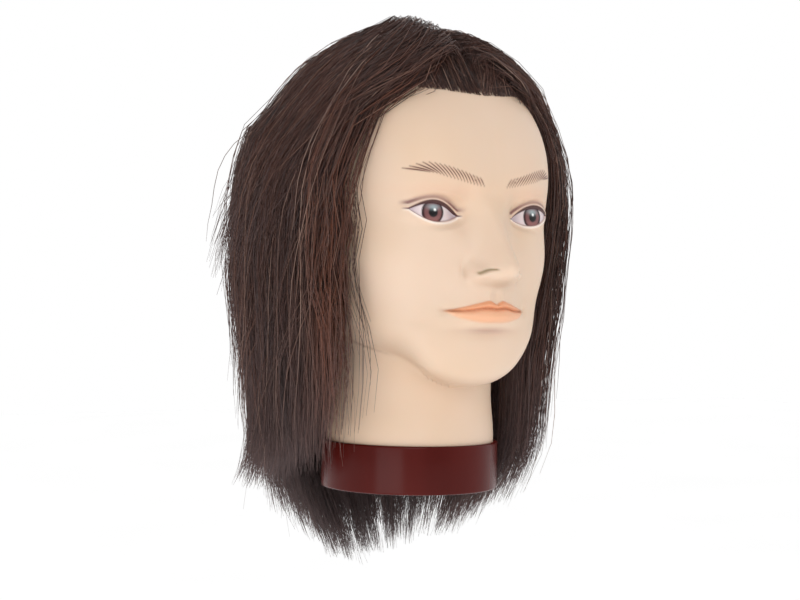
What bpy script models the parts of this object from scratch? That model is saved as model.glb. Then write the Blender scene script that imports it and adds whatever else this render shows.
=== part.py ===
"""Mannequin training head: a painted vinyl head on a foam core, a base collar with a clamp socket, and hair.

Lengths are in metres. +Z is up, the face looks along -Y, and the head's left is +X. The origin is the
centre of the clamp socket's mouth, on the underside of the base, so the hair hangs below it.
"""

import math

import bmesh
import bpy
import numpy as np
from mathutils import Matrix, Vector

GAP = 0.0003  # between pieces that touch

# Base collar: a moulded ring round the neck's foot, with a ledge inside that the base plate closes on.
COLLAR_RADIUS = 0.0515
COLLAR_BORE = 0.0494
COLLAR_HEIGHT = 0.0273
COLLAR_ROUNDING = 0.0009
LEDGE_RADIUS = 0.0420
LEDGE_BOTTOM = 0.0043
LEDGE_TOP = 0.0063

# Base plate and its countersunk screws.
PLATE_RECESS = 0.0010
PLATE_THICKNESS = 0.0030
PLATE_HOLE = 0.0136
SCREW_CIRCLE = 0.0320
SCREW_COUNT = 4
SCREW_SHANK = 0.0019
SCREW_HEAD = 0.0039
SCREW_HEAD_HEIGHT = 0.0020
SCREW_LENGTH = 0.0150
SCREW_SINK = 0.0002
SCREW_CLEARANCE = 0.0003
DRIVE_WIDTH = 0.0009
DRIVE_SPAN = 0.0044
DRIVE_DEPTH = 0.0010

# Clamp socket: a tapered blind tube, held by its flange between the plate and the neck insert.
SOCKET_MOUTH = 0.0110
SOCKET_END = 0.0102
SOCKET_WALL = 0.0020
SOCKET_DEPTH = 0.0700
SOCKET_FLANGE = 0.0200
SOCKET_START = 0.0004

# Neck insert: a ring plug that keeps the neck round.
INSERT_TOP = 0.0380
INSERT_RADIUS = 0.0434
INSERT_BORE = 0.0140
INSERT_PILOT = 0.0022

# Vinyl shell.
WALL = 0.0038
NECK_FOOT = LEDGE_TOP + GAP
NECK_RADIUS = 0.0472
NECK_FOOT_RADIUS = 0.0490
NECK_FLARE_FROM = 0.0300
NECK_FLARE_TO = 0.0560
NECK_TOP = 0.1200
CORE_GAP = 0.0010

# Head form: lumps that run into one another, each with its centre, radii and softness of the join.
# A lump off the middle is mirrored to the other side.
SKULL = ((0.0, 0.010, 0.180), (0.073, 0.092, 0.082), 0.0)
FACE_LUMPS = (
    ((0.0, -0.0243, 0.1514), (0.0611, 0.0586, 0.0848), 0.008),  # face from brow to jaw
    ((0.0213, -0.0316, 0.1824), (0.0353, 0.0452, 0.0454), 0.014),  # forehead
    ((0.0, -0.0599, 0.0882), (0.0360, 0.0190, 0.0271), 0.020),  # chin
    ((0.0372, -0.0195, 0.0982), (0.0155, 0.0362, 0.0113), 0.020),  # jaw
    ((0.0329, -0.0428, 0.1311), (0.0199, 0.0224, 0.0245), 0.016),  # cheek
)
NECK_JOIN = 0.008
FEATURE_LUMPS = (
    ((0.0, -0.0760, 0.1520), (0.0070, 0.0130, 0.0240), 0.012),  # nose bridge
    ((0.0, -0.0885, 0.1290), (0.0085, 0.0125, 0.0090), 0.008),  # nose tip
    ((0.0110, -0.0815, 0.1235), (0.0060, 0.0075, 0.0055), 0.006),  # nostril wing
    ((0.0, -0.0775, 0.1060), (0.0230, 0.0100, 0.0045), 0.008),  # upper lip
    ((0.0, -0.0770, 0.0995), (0.0190, 0.0100, 0.0045), 0.008),  # lower lip
)
EYE_SOCKET = ((0.0320, -0.0890, 0.1570), (0.0210, 0.0130, 0.0120), 0.012)
EYEBALL = ((0.0325, -0.0620, 0.1560), (0.0150, 0.0128, 0.0120), 0.004)
LINING_SOCKET = ((0.0320, -0.0890, 0.1560), (0.0280, 0.0190, 0.0200), 0.014)  # keeps the wall behind the eyes

# The rays that shape a shell start on the head's axis: level ones up to HEAD_CENTRE, then a fan.
HEAD_CENTRE = Vector((0.0, 0.010, 0.150))
RAY_LENGTH = 0.170
RAY_STEPS = 80
NECK_SHARE = 0.13  # share of a shell's rings on the neck
FACE_SHARE = 0.57  # and on the neck and face together, below the fan
CHIN_SHELF = 0.0600
FRONT_CROWDING = 0.35  # columns stand closer on the face than at the back
SKIN_COLUMNS = 52
SKIN_RINGS = 44
LINING_COLUMNS = 26
LINING_RINGS = 24

# Hair: the outer form of the whole head of hair, and how it is sectioned.
HAIR_CENTRE = Vector((0.0, 0.009, 0.165))
HAIR_RADII = (0.090, 0.116, 0.107)
CROWN_TOP = HAIR_CENTRE.z + HAIR_RADII[2]
HAIR_FLARE_DROP = 0.200  # the curtain narrows by HAIR_TAPER over this drop
HAIR_TAPER = 0.10
HAIR_LIFT = 0.0024  # clear of the scalp
HAIR_CURTAIN = 0.031  # thickness of the hanging hair beside the face
HAIR_CURTAIN_END = 0.020  # and at its tips
HAIR_SECTION_GAP = 0.0010
HAIR_SECTION_SLIT = 0.35  # degrees, each side of a section line
HAIRLINE_RISE = 0.223
FRONT_ANGLE = 52
SIDE_ANGLE = 94
BACK_ANGLE = 138
CROWN_EDGE = 0.226
FRONT_THICKNESS = 0.0045  # at the hairline
FRONT_FULLNESS = 0.0110  # on top
CROWN_CLEARANCE = 0.0012  # between the crown and the curtain below it
POLE_CLEARANCE = 0.00002  # keeps the rings nearest the crown's pole from closing on it
TIP_ANGLES = (52, 94, 138, 180)
TIP_HEIGHTS = (0.012, -0.010, -0.030, -0.039)


def material(name, colour, roughness, metallic=0.0):
    made = bpy.data.materials.new(name)
    made.use_nodes = True
    shader = made.node_tree.nodes["Principled BSDF"]
    shader.inputs["Base Color"].default_value = (*colour, 1.0)
    shader.inputs["Roughness"].default_value = roughness
    shader.inputs["Metallic"].default_value = metallic
    made.diffuse_color = (*colour, 1.0)
    return made


def collection(name, hidden=False):
    made = bpy.data.collections.new(name)
    made.hide_render = hidden
    bpy.context.scene.collection.children.link(made)
    return made


def add_object(name, mesh, home, finish=None):
    made = bpy.data.objects.new(name, mesh)
    home.objects.link(made)
    if finish:
        mesh.materials.append(finish)
    return made


def mesh_of(name, bm):
    bmesh.ops.recalc_face_normals(bm, faces=bm.faces)
    mesh = bpy.data.meshes.new(name)
    bm.to_mesh(mesh)
    bm.free()
    return mesh


def smooth(mesh, angle=35):
    mesh.shade_smooth()
    mesh.set_sharp_from_angle(angle=math.radians(angle))


def turned(name, profile, home, finish=None, steps=64):
    """A profile of (radius, height) points, down its outer side first, turned round Z.

    It closes on itself, unless it starts and ends on the axis.
    """
    bm = bmesh.new()
    points = [bm.verts.new((radius, 0.0, height)) for radius, height in profile]
    following = points[1:] if profile[0][0] == 0.0 else points[1:] + points[:1]
    for start, end in zip(points, following):
        bm.edges.new((start, end))
    mesh = bpy.data.meshes.new(name)
    bm.to_mesh(mesh)
    bm.free()
    made = add_object(name, mesh, home, finish)
    spin = made.modifiers.new("turn", "SCREW")
    spin.axis = "Z"
    spin.angle = math.tau
    spin.steps = steps
    spin.render_steps = steps
    spin.use_merge_vertices = True
    spin.merge_threshold = 0.00001
    spin.use_smooth_shade = True
    return made


def realised(source):
    """The mesh that the object's modifiers make."""
    bpy.context.view_layer.update()
    graph = bpy.context.evaluated_depsgraph_get()
    return bpy.data.meshes.new_from_object(source.evaluated_get(graph))


def cut(target, cutter):
    hole = target.modifiers.new(cutter.name, "BOOLEAN")
    hole.operation = "DIFFERENCE"
    hole.solver = "EXACT"
    hole.object = cutter
    cutter.hide_render = True
    cutter.display_type = "WIRE"


# Base


def base_collar(home, finish):
    edge = COLLAR_ROUNDING
    profile = [
        (COLLAR_RADIUS - edge, COLLAR_HEIGHT),
        (COLLAR_RADIUS - 0.3 * edge, COLLAR_HEIGHT - 0.3 * edge),
        (COLLAR_RADIUS, COLLAR_HEIGHT - edge),
        (COLLAR_RADIUS, edge),
        (COLLAR_RADIUS - 0.3 * edge, 0.3 * edge),
        (COLLAR_RADIUS - edge, 0.0),
        (COLLAR_BORE, 0.0),
        (COLLAR_BORE, LEDGE_BOTTOM),
        (LEDGE_RADIUS, LEDGE_BOTTOM),
        (LEDGE_RADIUS, LEDGE_TOP),
        (COLLAR_BORE, LEDGE_TOP),
        (COLLAR_BORE, COLLAR_HEIGHT),
    ]
    return turned("base_collar", profile, home, finish)


def screw_places():
    for index in range(SCREW_COUNT):
        angle = math.tau * (index + 0.5) / SCREW_COUNT
        yield index + 1, Vector((math.cos(angle), math.sin(angle), 0.0)) * SCREW_CIRCLE


def base_plate(home, cutters, finish):
    top = PLATE_RECESS + PLATE_THICKNESS
    radius = COLLAR_BORE - GAP
    profile = [(radius, top), (radius, PLATE_RECESS), (PLATE_HOLE, PLATE_RECESS), (PLATE_HOLE, top)]
    plate = turned("base_plate", profile, home, finish)
    narrow = SCREW_SHANK + SCREW_CLEARANCE
    wide = SCREW_HEAD + SCREW_CLEARANCE
    sink = PLATE_RECESS + SCREW_SINK + SCREW_HEAD_HEIGHT
    outline = [(0.0, top + 0.001), (narrow, top + 0.001), (narrow, sink), (wide, PLATE_RECESS)]
    outline += [(wide, -0.001), (0.0, -0.001)]
    for index, place in screw_places():
        cutter = turned(f"screw_hole_{index}", outline, cutters, steps=20)
        cutter.location = place
        cut(plate, cutter)
    return plate


def plate_screws(home, cutters, finish):
    base = PLATE_RECESS + SCREW_SINK
    tip = base + SCREW_LENGTH
    profile = [
        (0.0, tip),
        (SCREW_SHANK * 0.6, tip),
        (SCREW_SHANK, tip - SCREW_SHANK),
        (SCREW_SHANK, base + SCREW_HEAD_HEIGHT),
        (SCREW_HEAD, base),
        (0.0, base),
    ]
    blank = turned("screw_blank", profile, cutters, steps=20)
    for turn in (0.0, math.pi / 2):
        bm = bmesh.new()
        bmesh.ops.create_cube(bm, size=1.0)
        bmesh.ops.scale(bm, vec=(DRIVE_SPAN, DRIVE_WIDTH, 2 * DRIVE_DEPTH), verts=bm.verts)
        bmesh.ops.rotate(bm, cent=(0, 0, 0), matrix=Matrix.Rotation(turn, 3, "Z"), verts=bm.verts)
        bmesh.ops.translate(bm, vec=(0, 0, base), verts=bm.verts)
        cut(blank, add_object("drive_slot", mesh_of("drive_slot", bm), cutters))
    mesh = realised(blank)
    blank.hide_render = True
    blank.display_type = "WIRE"
    mesh.materials.clear()
    mesh.materials.append(finish)
    smooth(mesh)
    for index, place in screw_places():
        screw = bpy.data.objects.new(f"plate_screw_{index}", mesh)
        screw.location = place
        home.objects.link(screw)


def socket_radius(height):
    """The tapered bore's radius at a height above the mouth."""
    return SOCKET_MOUTH + (SOCKET_END - SOCKET_MOUTH) * height / SOCKET_DEPTH


def socket_tube(home, finish):
    top = SOCKET_DEPTH + SOCKET_WALL
    flange_low = PLATE_RECESS + PLATE_THICKNESS + GAP
    profile = [
        (0.0, top),
        (SOCKET_END + 0.5 * SOCKET_WALL, top),
        (SOCKET_END + SOCKET_WALL, SOCKET_DEPTH),
        (socket_radius(LEDGE_TOP) + SOCKET_WALL, LEDGE_TOP),
        (SOCKET_FLANGE, LEDGE_TOP),
        (SOCKET_FLANGE, flange_low),
        (socket_radius(flange_low) + SOCKET_WALL, flange_low),
        (SOCKET_MOUTH + SOCKET_WALL, SOCKET_START),
        (SOCKET_MOUTH + 0.0006, SOCKET_START),
        (SOCKET_MOUTH, SOCKET_START + 0.0008),
        (SOCKET_END, SOCKET_DEPTH),
        (0.0, SOCKET_DEPTH),
    ]
    return turned("socket_tube", profile, home, finish, steps=40)


def neck_insert(home, cutters, finish):
    low = NECK_FOOT
    profile = [
        (INSERT_RADIUS - 0.001, INSERT_TOP),
        (INSERT_RADIUS, INSERT_TOP - 0.001),
        (INSERT_RADIUS, low),
        (INSERT_BORE, low),
        (INSERT_BORE, INSERT_TOP),
    ]
    insert = turned("neck_insert", profile, home, finish, steps=48)
    high = PLATE_RECESS + SCREW_SINK + SCREW_LENGTH + 0.001
    outline = [(0.0, high), (INSERT_PILOT, high), (INSERT_PILOT, 0.0), (0.0, 0.0)]
    for index, place in screw_places():
        cutter = turned(f"pilot_hole_{index}", outline, cutters, steps=16)
        cutter.location = place
        cut(insert, cutter)
    return insert


# Head form


def lump_depth(points, centre, radii):
    """Nearly how far each point is outside the lump, negative inside it."""
    scaled = (points - np.array(centre)) / np.array(radii)
    reach = np.linalg.norm(scaled, axis=1)
    slope = np.linalg.norm(scaled / np.array(radii), axis=1)
    return reach * (reach - 1.0) / np.maximum(slope, 1.0)


def blended(first, second, softness):
    share = np.clip(0.5 + 0.5 * (second - first) / softness, 0.0, 1.0)
    return second + (first - second) * share - softness * share * (1.0 - share)


def neck_depth(points):
    across = np.hypot(points[:, 0], points[:, 1])
    rise = np.clip((points[:, 2] - NECK_FLARE_FROM) / (NECK_FLARE_TO - NECK_FLARE_FROM), 0.0, 1.0)
    eased = rise * rise * (3.0 - 2.0 * rise)
    radius = NECK_FOOT_RADIUS + (NECK_RADIUS - NECK_FOOT_RADIUS) * eased
    return np.maximum(across - radius, points[:, 2] - NECK_TOP)


def head_depth(points, featured=True):
    """Depth below the head's surface; without features it is the form that the lining and core follow."""
    folded = points.copy()
    folded[:, 0] = np.abs(folded[:, 0])
    depth = lump_depth(folded, *SKULL[:2])
    for centre, radii, softness in FACE_LUMPS:
        depth = blended(depth, lump_depth(folded, centre, radii), softness)
    depth = blended(depth, neck_depth(folded), NECK_JOIN)
    if not featured:
        centre, radii, softness = LINING_SOCKET
        return -blended(-depth, lump_depth(folded, centre, radii), softness)
    for centre, radii, softness in FEATURE_LUMPS:
        depth = blended(depth, lump_depth(folded, centre, radii), softness)
    centre, radii, softness = EYE_SOCKET
    depth = -blended(-depth, lump_depth(folded, centre, radii), softness)
    centre, radii, softness = EYEBALL
    return blended(depth, lump_depth(folded, centre, radii), softness)


def core_depth(points):
    return head_depth(points, featured=False)


def ray(share, azimuth, foot):
    """Start and direction of the ray at a share of the way from the shell's foot to the crown."""
    if share < NECK_SHARE:
        start = Vector((0.0, 0.0, foot + (CHIN_SHELF - foot) * share / NECK_SHARE))
        polar = math.pi / 2
    elif share < FACE_SHARE:
        along = (share - NECK_SHARE) / (FACE_SHARE - NECK_SHARE)
        rise = CHIN_SHELF + (HEAD_CENTRE.z - CHIN_SHELF) * along
        start = Vector((0.0, HEAD_CENTRE.y * along, rise))
        polar = math.pi / 2
    else:
        start = HEAD_CENTRE
        polar = math.pi / 2 * (1.0 - share) / (1.0 - FACE_SHARE)
    level = math.sin(polar)
    return start, Vector((math.sin(azimuth) * level, -math.cos(azimuth) * level, math.cos(polar)))


def cast(depth_of, starts, directions, level):
    """Moves out along each ray to the last place where the depth passes the level."""
    steps = np.linspace(0.0, RAY_LENGTH, RAY_STEPS)
    inside = np.zeros(len(starts), int)
    for index, step in enumerate(steps):
        inside[depth_of(starts + directions * step) < level] = index
    near = steps[inside]
    far = steps[np.minimum(inside + 1, RAY_STEPS - 1)]
    for _ in range(18):
        middle = 0.5 * (near + far)
        within = depth_of(starts + directions * middle[:, None]) < level
        near = np.where(within, middle, near)
        far = np.where(within, far, middle)
    return starts + directions * near[:, None]


def shell(columns, rings, depth_of, level, foot):
    """A sphere, open at its foot, whose points are sent out along rays to the depth's level."""
    bm = bmesh.new()
    bmesh.ops.create_uvsphere(bm, u_segments=columns, v_segments=rings, radius=1.0)
    lowest = min(bm.verts, key=lambda vert: vert.co.z)
    bmesh.ops.delete(bm, geom=[lowest], context="VERTS")
    starts = []
    directions = []
    for vert in bm.verts:
        polar = math.acos(max(-1.0, min(1.0, vert.co.z)))
        share = 1.0 - polar / math.pi
        share = (share * rings - 1.0) / (rings - 1.0)
        even = math.atan2(vert.co.x, -vert.co.y)
        azimuth = even - FRONT_CROWDING * math.sin(even)
        start, direction = ray(share, azimuth, foot)
        starts.append(start)
        directions.append(direction)
    reached = cast(depth_of, np.array(starts), np.array(directions), level)
    for vert, place in zip(bm.verts, reached):
        vert.co = place
    return bm


def open_edges(bm):
    return [edge for edge in bm.edges if edge.is_boundary]


def merge_into(bm, other):
    carrier = bpy.data.meshes.new("carrier")
    other.to_mesh(carrier)
    other.free()
    bm.from_mesh(carrier)
    bpy.data.meshes.remove(carrier)


def head_skin(home, finish):
    bm = shell(SKIN_COLUMNS, SKIN_RINGS, head_depth, 0.0, NECK_FOOT)
    lining = shell(LINING_COLUMNS, LINING_RINGS, core_depth, -WALL, NECK_FOOT)
    bmesh.ops.reverse_faces(lining, faces=lining.faces)
    merge_into(bm, lining)
    bmesh.ops.bridge_loops(bm, edges=open_edges(bm))
    bmesh.ops.triangulate(bm, faces=[face for face in bm.faces if len(face.verts) > 4])
    mesh = mesh_of("head_skin", bm)
    smooth(mesh, 50)
    return add_object("head_skin", mesh, home, finish)


def foam_core(home, cutters, finish):
    foot = INSERT_TOP + GAP
    bm = shell(LINING_COLUMNS, LINING_RINGS, core_depth, -WALL - CORE_GAP, foot)
    bmesh.ops.contextual_create(bm, geom=open_edges(bm))
    mesh = mesh_of("foam_core", bm)
    smooth(mesh, 50)
    core = add_object("foam_core", mesh, home, finish)
    top = SOCKET_DEPTH + SOCKET_WALL + GAP
    radius = SOCKET_MOUTH + SOCKET_WALL + GAP
    outline = [(0.0, top), (radius, top), (radius, 0.0), (0.0, 0.0)]
    cut(core, turned("core_bore", outline, cutters, steps=32))
    return core


# Hair


def hair_depth(points):
    """Depth below the outer form of the hair: a dome on a curtain that narrows towards its tips."""
    away = points - np.array(HAIR_CENTRE)
    drop = np.clip(-away[:, 2] / HAIR_FLARE_DROP, 0.0, 1.0)
    width = 1.0 - HAIR_TAPER * drop
    rise = np.maximum(away[:, 2], 0.0) / HAIR_RADII[2]
    across = away[:, 0] / (HAIR_RADII[0] * width)
    along = away[:, 1] / (HAIR_RADII[1] * width)
    return (np.sqrt(across**2 + along**2 + rise**2) - 1.0) * HAIR_RADII[0]


def tip_height(azimuth):
    return float(np.interp(abs(math.degrees(azimuth)), TIP_ANGLES, TIP_HEIGHTS))


def fall_at(height):
    """How far a height is down the hair: an angle from the crown, then a drop over the hair's radius."""
    if height > HEAD_CENTRE.z:
        return math.acos(min(1.0, (height - HEAD_CENTRE.z) / (CROWN_TOP - HEAD_CENTRE.z)))
    return math.pi / 2 + (HEAD_CENTRE.z - height) / HAIR_RADII[2]


def hair_ray(fall, azimuth):
    """One of a fan of rays from the head's centre, or below it a level one."""
    drop = max(0.0, fall - math.pi / 2) * HAIR_RADII[2]
    polar = min(fall, math.pi / 2)
    level = math.sin(polar)
    start = HEAD_CENTRE - Vector((0.0, 0.0, drop))
    return start, Vector((math.sin(azimuth) * level, -math.cos(azimuth) * level, math.cos(polar)))


def hair_section(name, span, high, low_of, thickness_of, home, finish, columns, rows):
    """A closed piece of hair over a span of azimuths, from a height down to its lower edge.

    A grid becomes the outer face, and the same grid pushed in becomes the inner one.
    """
    bm = bmesh.new()
    bmesh.ops.create_grid(bm, x_segments=columns, y_segments=rows, size=0.5)
    outer = list(bm.verts)
    places = [(vert.co.x + 0.5, 0.5 - vert.co.y) for vert in outer]
    pushed = bmesh.ops.extrude_face_region(bm, geom=list(bm.faces), use_keep_orig=True)
    inner = [item for item in pushed["geom"] if isinstance(item, bmesh.types.BMVert)]
    inner.sort(key=lambda vert: (round(vert.co.y, 5), round(vert.co.x, 5)))
    order = sorted(range(len(outer)), key=lambda i: (round(outer[i].co.y, 5), round(outer[i].co.x, 5)))
    starts = []
    directions = []
    depths = []
    for across, down in places:
        azimuth = span[0] + (span[1] - span[0]) * across
        fall = fall_at(high) + (fall_at(low_of(azimuth)) - fall_at(high)) * down
        start, direction = hair_ray(fall, azimuth)
        starts.append(start)
        directions.append(direction)
        depths.append(thickness_of(down))
    starts = np.array(starts)
    directions = np.array(directions)
    scalp = cast(core_depth, starts, directions, 0.0)
    outside = cast(hair_depth, starts, directions, 0.0)
    scalp_reach = np.linalg.norm(scalp - starts, axis=1) + HAIR_LIFT
    outer_reach = np.linalg.norm(outside - starts, axis=1)
    limit = np.array([depth if depth else RAY_LENGTH for depth in depths])
    outer_reach = np.minimum(outer_reach, scalp_reach + limit)
    falls = np.clip(starts[:, 2] / HEAD_CENTRE.z, 0.0, 1.0)
    curtain = HAIR_CURTAIN_END + (HAIR_CURTAIN - HAIR_CURTAIN_END) * falls
    inner_reach = np.maximum(scalp_reach, outer_reach - curtain)
    outer_places = starts + directions * outer_reach[:, None]
    inner_places = starts + directions * inner_reach[:, None]
    sides = math.copysign(HAIR_SECTION_GAP / 2, span[0] + span[1])
    for vert, place in zip(outer, outer_places):
        vert.co = place
    for index, vert in zip(order, inner):
        vert.co = inner_places[index]
    bmesh.ops.translate(bm, vec=(sides, 0.0, 0.0), verts=bm.verts)
    mesh = mesh_of(name, bm)
    smooth(mesh, 40)
    return add_object(name, mesh, home, finish)


def full(down):
    return None


def front_taper(down):
    """Hair lies thin at the hairline and full on top."""
    return FRONT_FULLNESS + (FRONT_THICKNESS - FRONT_FULLNESS) * down**2


def hair(home, finish):
    slit = math.radians(HAIR_SECTION_SLIT)
    front, side, back = (math.radians(a) for a in (FRONT_ANGLE, SIDE_ANGLE, BACK_ANGLE))
    crown_low = CROWN_EDGE + CROWN_CLEARANCE
    top = CROWN_TOP - POLE_CLEARANCE
    hanging = (
        ("side", front + slit, side - slit),
        ("back_side", side + slit, back - slit),
        ("nape", back + slit, math.pi - slit),
    )
    for label, sign in (("left", 1.0), ("right", -1.0)):
        edges = (sign * slit, sign * (front - slit))
        name = f"hair_front_{label}"
        hair_section(name, edges, top, lambda a: HAIRLINE_RISE, front_taper, home, finish, 6, 8)
        edges = (sign * (front + slit), sign * (math.pi - slit))
        name = f"hair_crown_{label}"
        hair_section(name, edges, top, lambda a: crown_low, full, home, finish, 12, 6)
        for group, start, end in hanging:
            edges = (sign * start, sign * end)
            name = f"hair_{group}_{label}"
            hair_section(name, edges, CROWN_EDGE, tip_height, full, home, finish, 5, 16)


def build():
    for leftover in list(bpy.data.objects):
        bpy.data.objects.remove(leftover)
    home = collection("mannequin_training_head")
    cutters = collection("cutters", hidden=True)
    vinyl = material("vinyl_skin", (0.83, 0.64, 0.49), 0.42)
    foam = material("rigid_foam", (0.80, 0.72, 0.48), 0.9)
    maroon = material("maroon_collar", (0.105, 0.026, 0.020), 0.12)
    black = material("black_base_plate", (0.030, 0.030, 0.032), 0.45)
    grey = material("grey_neck_insert", (0.22, 0.22, 0.23), 0.5)
    white = material("white_socket", (0.62, 0.61, 0.58), 0.4)
    zinc = material("zinc_screws", (0.62, 0.62, 0.64), 0.3, 1.0)
    brown = material("dark_brown_hair", (0.050, 0.026, 0.022), 0.38)
    head_skin(home, vinyl)
    foam_core(home, cutters, foam)
    neck_insert(home, cutters, grey)
    socket_tube(home, white)
    base_collar(home, maroon)
    base_plate(home, cutters, black)
    plate_screws(home, cutters, zinc)
    hair(home, brown)


build()
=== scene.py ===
"""Mannequin training head, finished: painted vinyl face, implanted hair and a maroon base collar."""

import math

import bmesh
import bpy
import numpy as np
from mathutils import Matrix, Vector


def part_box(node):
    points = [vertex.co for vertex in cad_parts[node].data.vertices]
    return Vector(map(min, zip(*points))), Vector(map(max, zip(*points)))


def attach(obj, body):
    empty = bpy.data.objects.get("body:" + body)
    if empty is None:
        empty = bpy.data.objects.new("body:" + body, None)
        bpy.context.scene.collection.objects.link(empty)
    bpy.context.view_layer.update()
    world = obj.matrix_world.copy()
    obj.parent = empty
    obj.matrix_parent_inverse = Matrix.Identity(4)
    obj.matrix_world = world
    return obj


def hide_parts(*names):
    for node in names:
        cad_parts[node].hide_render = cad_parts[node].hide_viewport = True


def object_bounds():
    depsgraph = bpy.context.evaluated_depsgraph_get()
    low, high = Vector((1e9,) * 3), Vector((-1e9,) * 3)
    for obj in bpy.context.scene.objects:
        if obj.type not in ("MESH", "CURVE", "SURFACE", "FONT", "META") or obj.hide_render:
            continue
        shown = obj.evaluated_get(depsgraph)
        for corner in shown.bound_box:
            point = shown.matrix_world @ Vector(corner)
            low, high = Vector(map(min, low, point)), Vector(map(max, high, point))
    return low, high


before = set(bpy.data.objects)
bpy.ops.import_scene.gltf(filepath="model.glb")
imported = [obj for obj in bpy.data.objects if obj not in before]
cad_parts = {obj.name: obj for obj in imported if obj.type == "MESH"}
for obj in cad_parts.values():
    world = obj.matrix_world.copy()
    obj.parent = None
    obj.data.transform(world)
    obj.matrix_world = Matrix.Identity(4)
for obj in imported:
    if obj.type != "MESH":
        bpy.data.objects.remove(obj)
cad_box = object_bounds()

# ---------------------------------------------------------------------------------------------
# Base plate and its screws. The plate is an injection-moulded black disc with a fine spark-eroded
# grain. Four zinc-plated countersunk screws pull it up against the ledge inside the collar.
# ---------------------------------------------------------------------------------------------


def srgb(red, green, blue):
    """A colour given as 0 to 255, as the shader's linear values."""
    return tuple(((c / 255 + 0.055) / 1.055) ** 2.4 if c > 10 else c / 3295 for c in (red, green, blue))


def blank_finish(name, roughness, metallic=0.0):
    made = bpy.data.materials.new(name)
    made.use_nodes = True
    shader = made.node_tree.nodes["Principled BSDF"]
    shader.inputs["Roughness"].default_value = roughness
    shader.inputs["Metallic"].default_value = metallic
    return made, made.node_tree, shader


def noise_at(tree, scale, detail=3.0, stretch=(1.0, 1.0, 1.0)):
    """A noise pattern in the object's own coordinates, drawn out along an axis by the stretch."""
    place = tree.nodes.new("ShaderNodeTexCoord")
    mapping = tree.nodes.new("ShaderNodeMapping")
    mapping.inputs["Scale"].default_value = stretch
    pattern = tree.nodes.new("ShaderNodeTexNoise")
    pattern.inputs["Scale"].default_value = scale
    pattern.inputs["Detail"].default_value = detail
    tree.links.new(place.outputs["Object"], mapping.inputs["Vector"])
    tree.links.new(mapping.outputs["Vector"], pattern.inputs["Vector"])
    return pattern.outputs["Fac"]


def spread(tree, value, low, high, new_low=0.0, new_high=1.0):
    """A value whose range from low to high is stretched to a new range, and clipped there."""
    ranged = tree.nodes.new("ShaderNodeMapRange")
    ranged.inputs["From Min"].default_value = low
    ranged.inputs["From Max"].default_value = high
    ranged.inputs["To Min"].default_value = new_low
    ranged.inputs["To Max"].default_value = new_high
    tree.links.new(value, ranged.inputs["Value"])
    return ranged.outputs["Result"]


def between(tree, share, first, second):
    """A colour mixed by the share; either colour may be values or another node's output."""
    mix = tree.nodes.new("ShaderNodeMix")
    mix.data_type = "RGBA"
    colours = [socket for socket in mix.inputs if socket.type == "RGBA"]
    for socket, colour in zip(colours, (first, second)):
        if isinstance(colour, tuple):
            socket.default_value = (*colour, 1.0)
        else:
            tree.links.new(colour, socket)
    tree.links.new(share, mix.inputs["Factor"])
    return next(socket for socket in mix.outputs if socket.type == "RGBA")


def bumped(tree, shader, height, distance, strength=1.0):
    bump = tree.nodes.new("ShaderNodeBump")
    bump.inputs["Distance"].default_value = distance
    bump.inputs["Strength"].default_value = strength
    tree.links.new(height, bump.inputs["Height"])
    tree.links.new(bump.outputs["Normal"], shader.inputs["Normal"])


def moulded_plastic(name, dark, light, roughness, grain=2600.0, depth=0.00003):
    """Moulded plastic: a slightly cloudy colour, with the mould's fine grain in bump and gloss."""
    made, tree, shader = blank_finish(name, roughness)
    cloud = spread(tree, noise_at(tree, 38.0), 0.35, 0.65)
    tree.links.new(between(tree, cloud, dark, light), shader.inputs["Base Color"])
    fine = noise_at(tree, grain, 2.0)
    gloss = spread(tree, fine, 0.3, 0.7, roughness - 0.07, roughness + 0.07)
    tree.links.new(gloss, shader.inputs["Roughness"])
    bumped(tree, shader, fine, depth)
    return made


def dress(node, finish):
    """Gives a CAD node its finish."""
    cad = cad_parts[node]
    cad.data.materials.clear()
    cad.data.materials.append(finish)


black_plate = moulded_plastic("black_grained_plate", srgb(30, 30, 31), srgb(44, 43, 43), 0.5, depth=0.00006)
dress("base_plate", black_plate)

zinc, zinc_tree, zinc_shader = blank_finish("zinc_plated_screw", 0.32, 1.0)
zinc_cloud = spread(zinc_tree, noise_at(zinc_tree, 900.0), 0.35, 0.65)
zinc_colour = between(zinc_tree, zinc_cloud, srgb(176, 176, 170), srgb(206, 207, 205))
zinc_tree.links.new(zinc_colour, zinc_shader.inputs["Base Color"])
bumped(zinc_tree, zinc_shader, noise_at(zinc_tree, 4000.0), 0.00001)
for number in range(1, 5):
    dress(f"plate_screw_{number}", zinc)

# ---------------------------------------------------------------------------------------------
# Clamp socket, neck insert and foam core. The socket is a natural white polypropylene tube, the
# insert a grey moulded ring, and the core rigid polyurethane foam poured into the vinyl.
# ---------------------------------------------------------------------------------------------

dress("socket_tube", moulded_plastic("natural_white_socket", srgb(205, 203, 194), srgb(222, 220, 212), 0.38))
dress("neck_insert", moulded_plastic("grey_insert", srgb(120, 121, 124), srgb(136, 137, 140), 0.45))

foam, foam_tree, foam_shader = blank_finish("poured_foam", 0.92)
cells = foam_tree.nodes.new("ShaderNodeTexVoronoi")
cells.inputs["Scale"].default_value = 700.0
foam_place = foam_tree.nodes.new("ShaderNodeTexCoord")
foam_tree.links.new(foam_place.outputs["Object"], cells.inputs["Vector"])
# the cells' pits are painted darker: painted shade in the pores
cell_pit_shade = spread(foam_tree, cells.outputs["Distance"], 0.0, 0.6)
foam_colour = between(foam_tree, cell_pit_shade, srgb(196, 176, 122), srgb(232, 217, 170))
foam_tree.links.new(foam_colour, foam_shader.inputs["Base Color"])
bumped(foam_tree, foam_shader, cells.outputs["Distance"], 0.0004)
dress("foam_core", foam)

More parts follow.
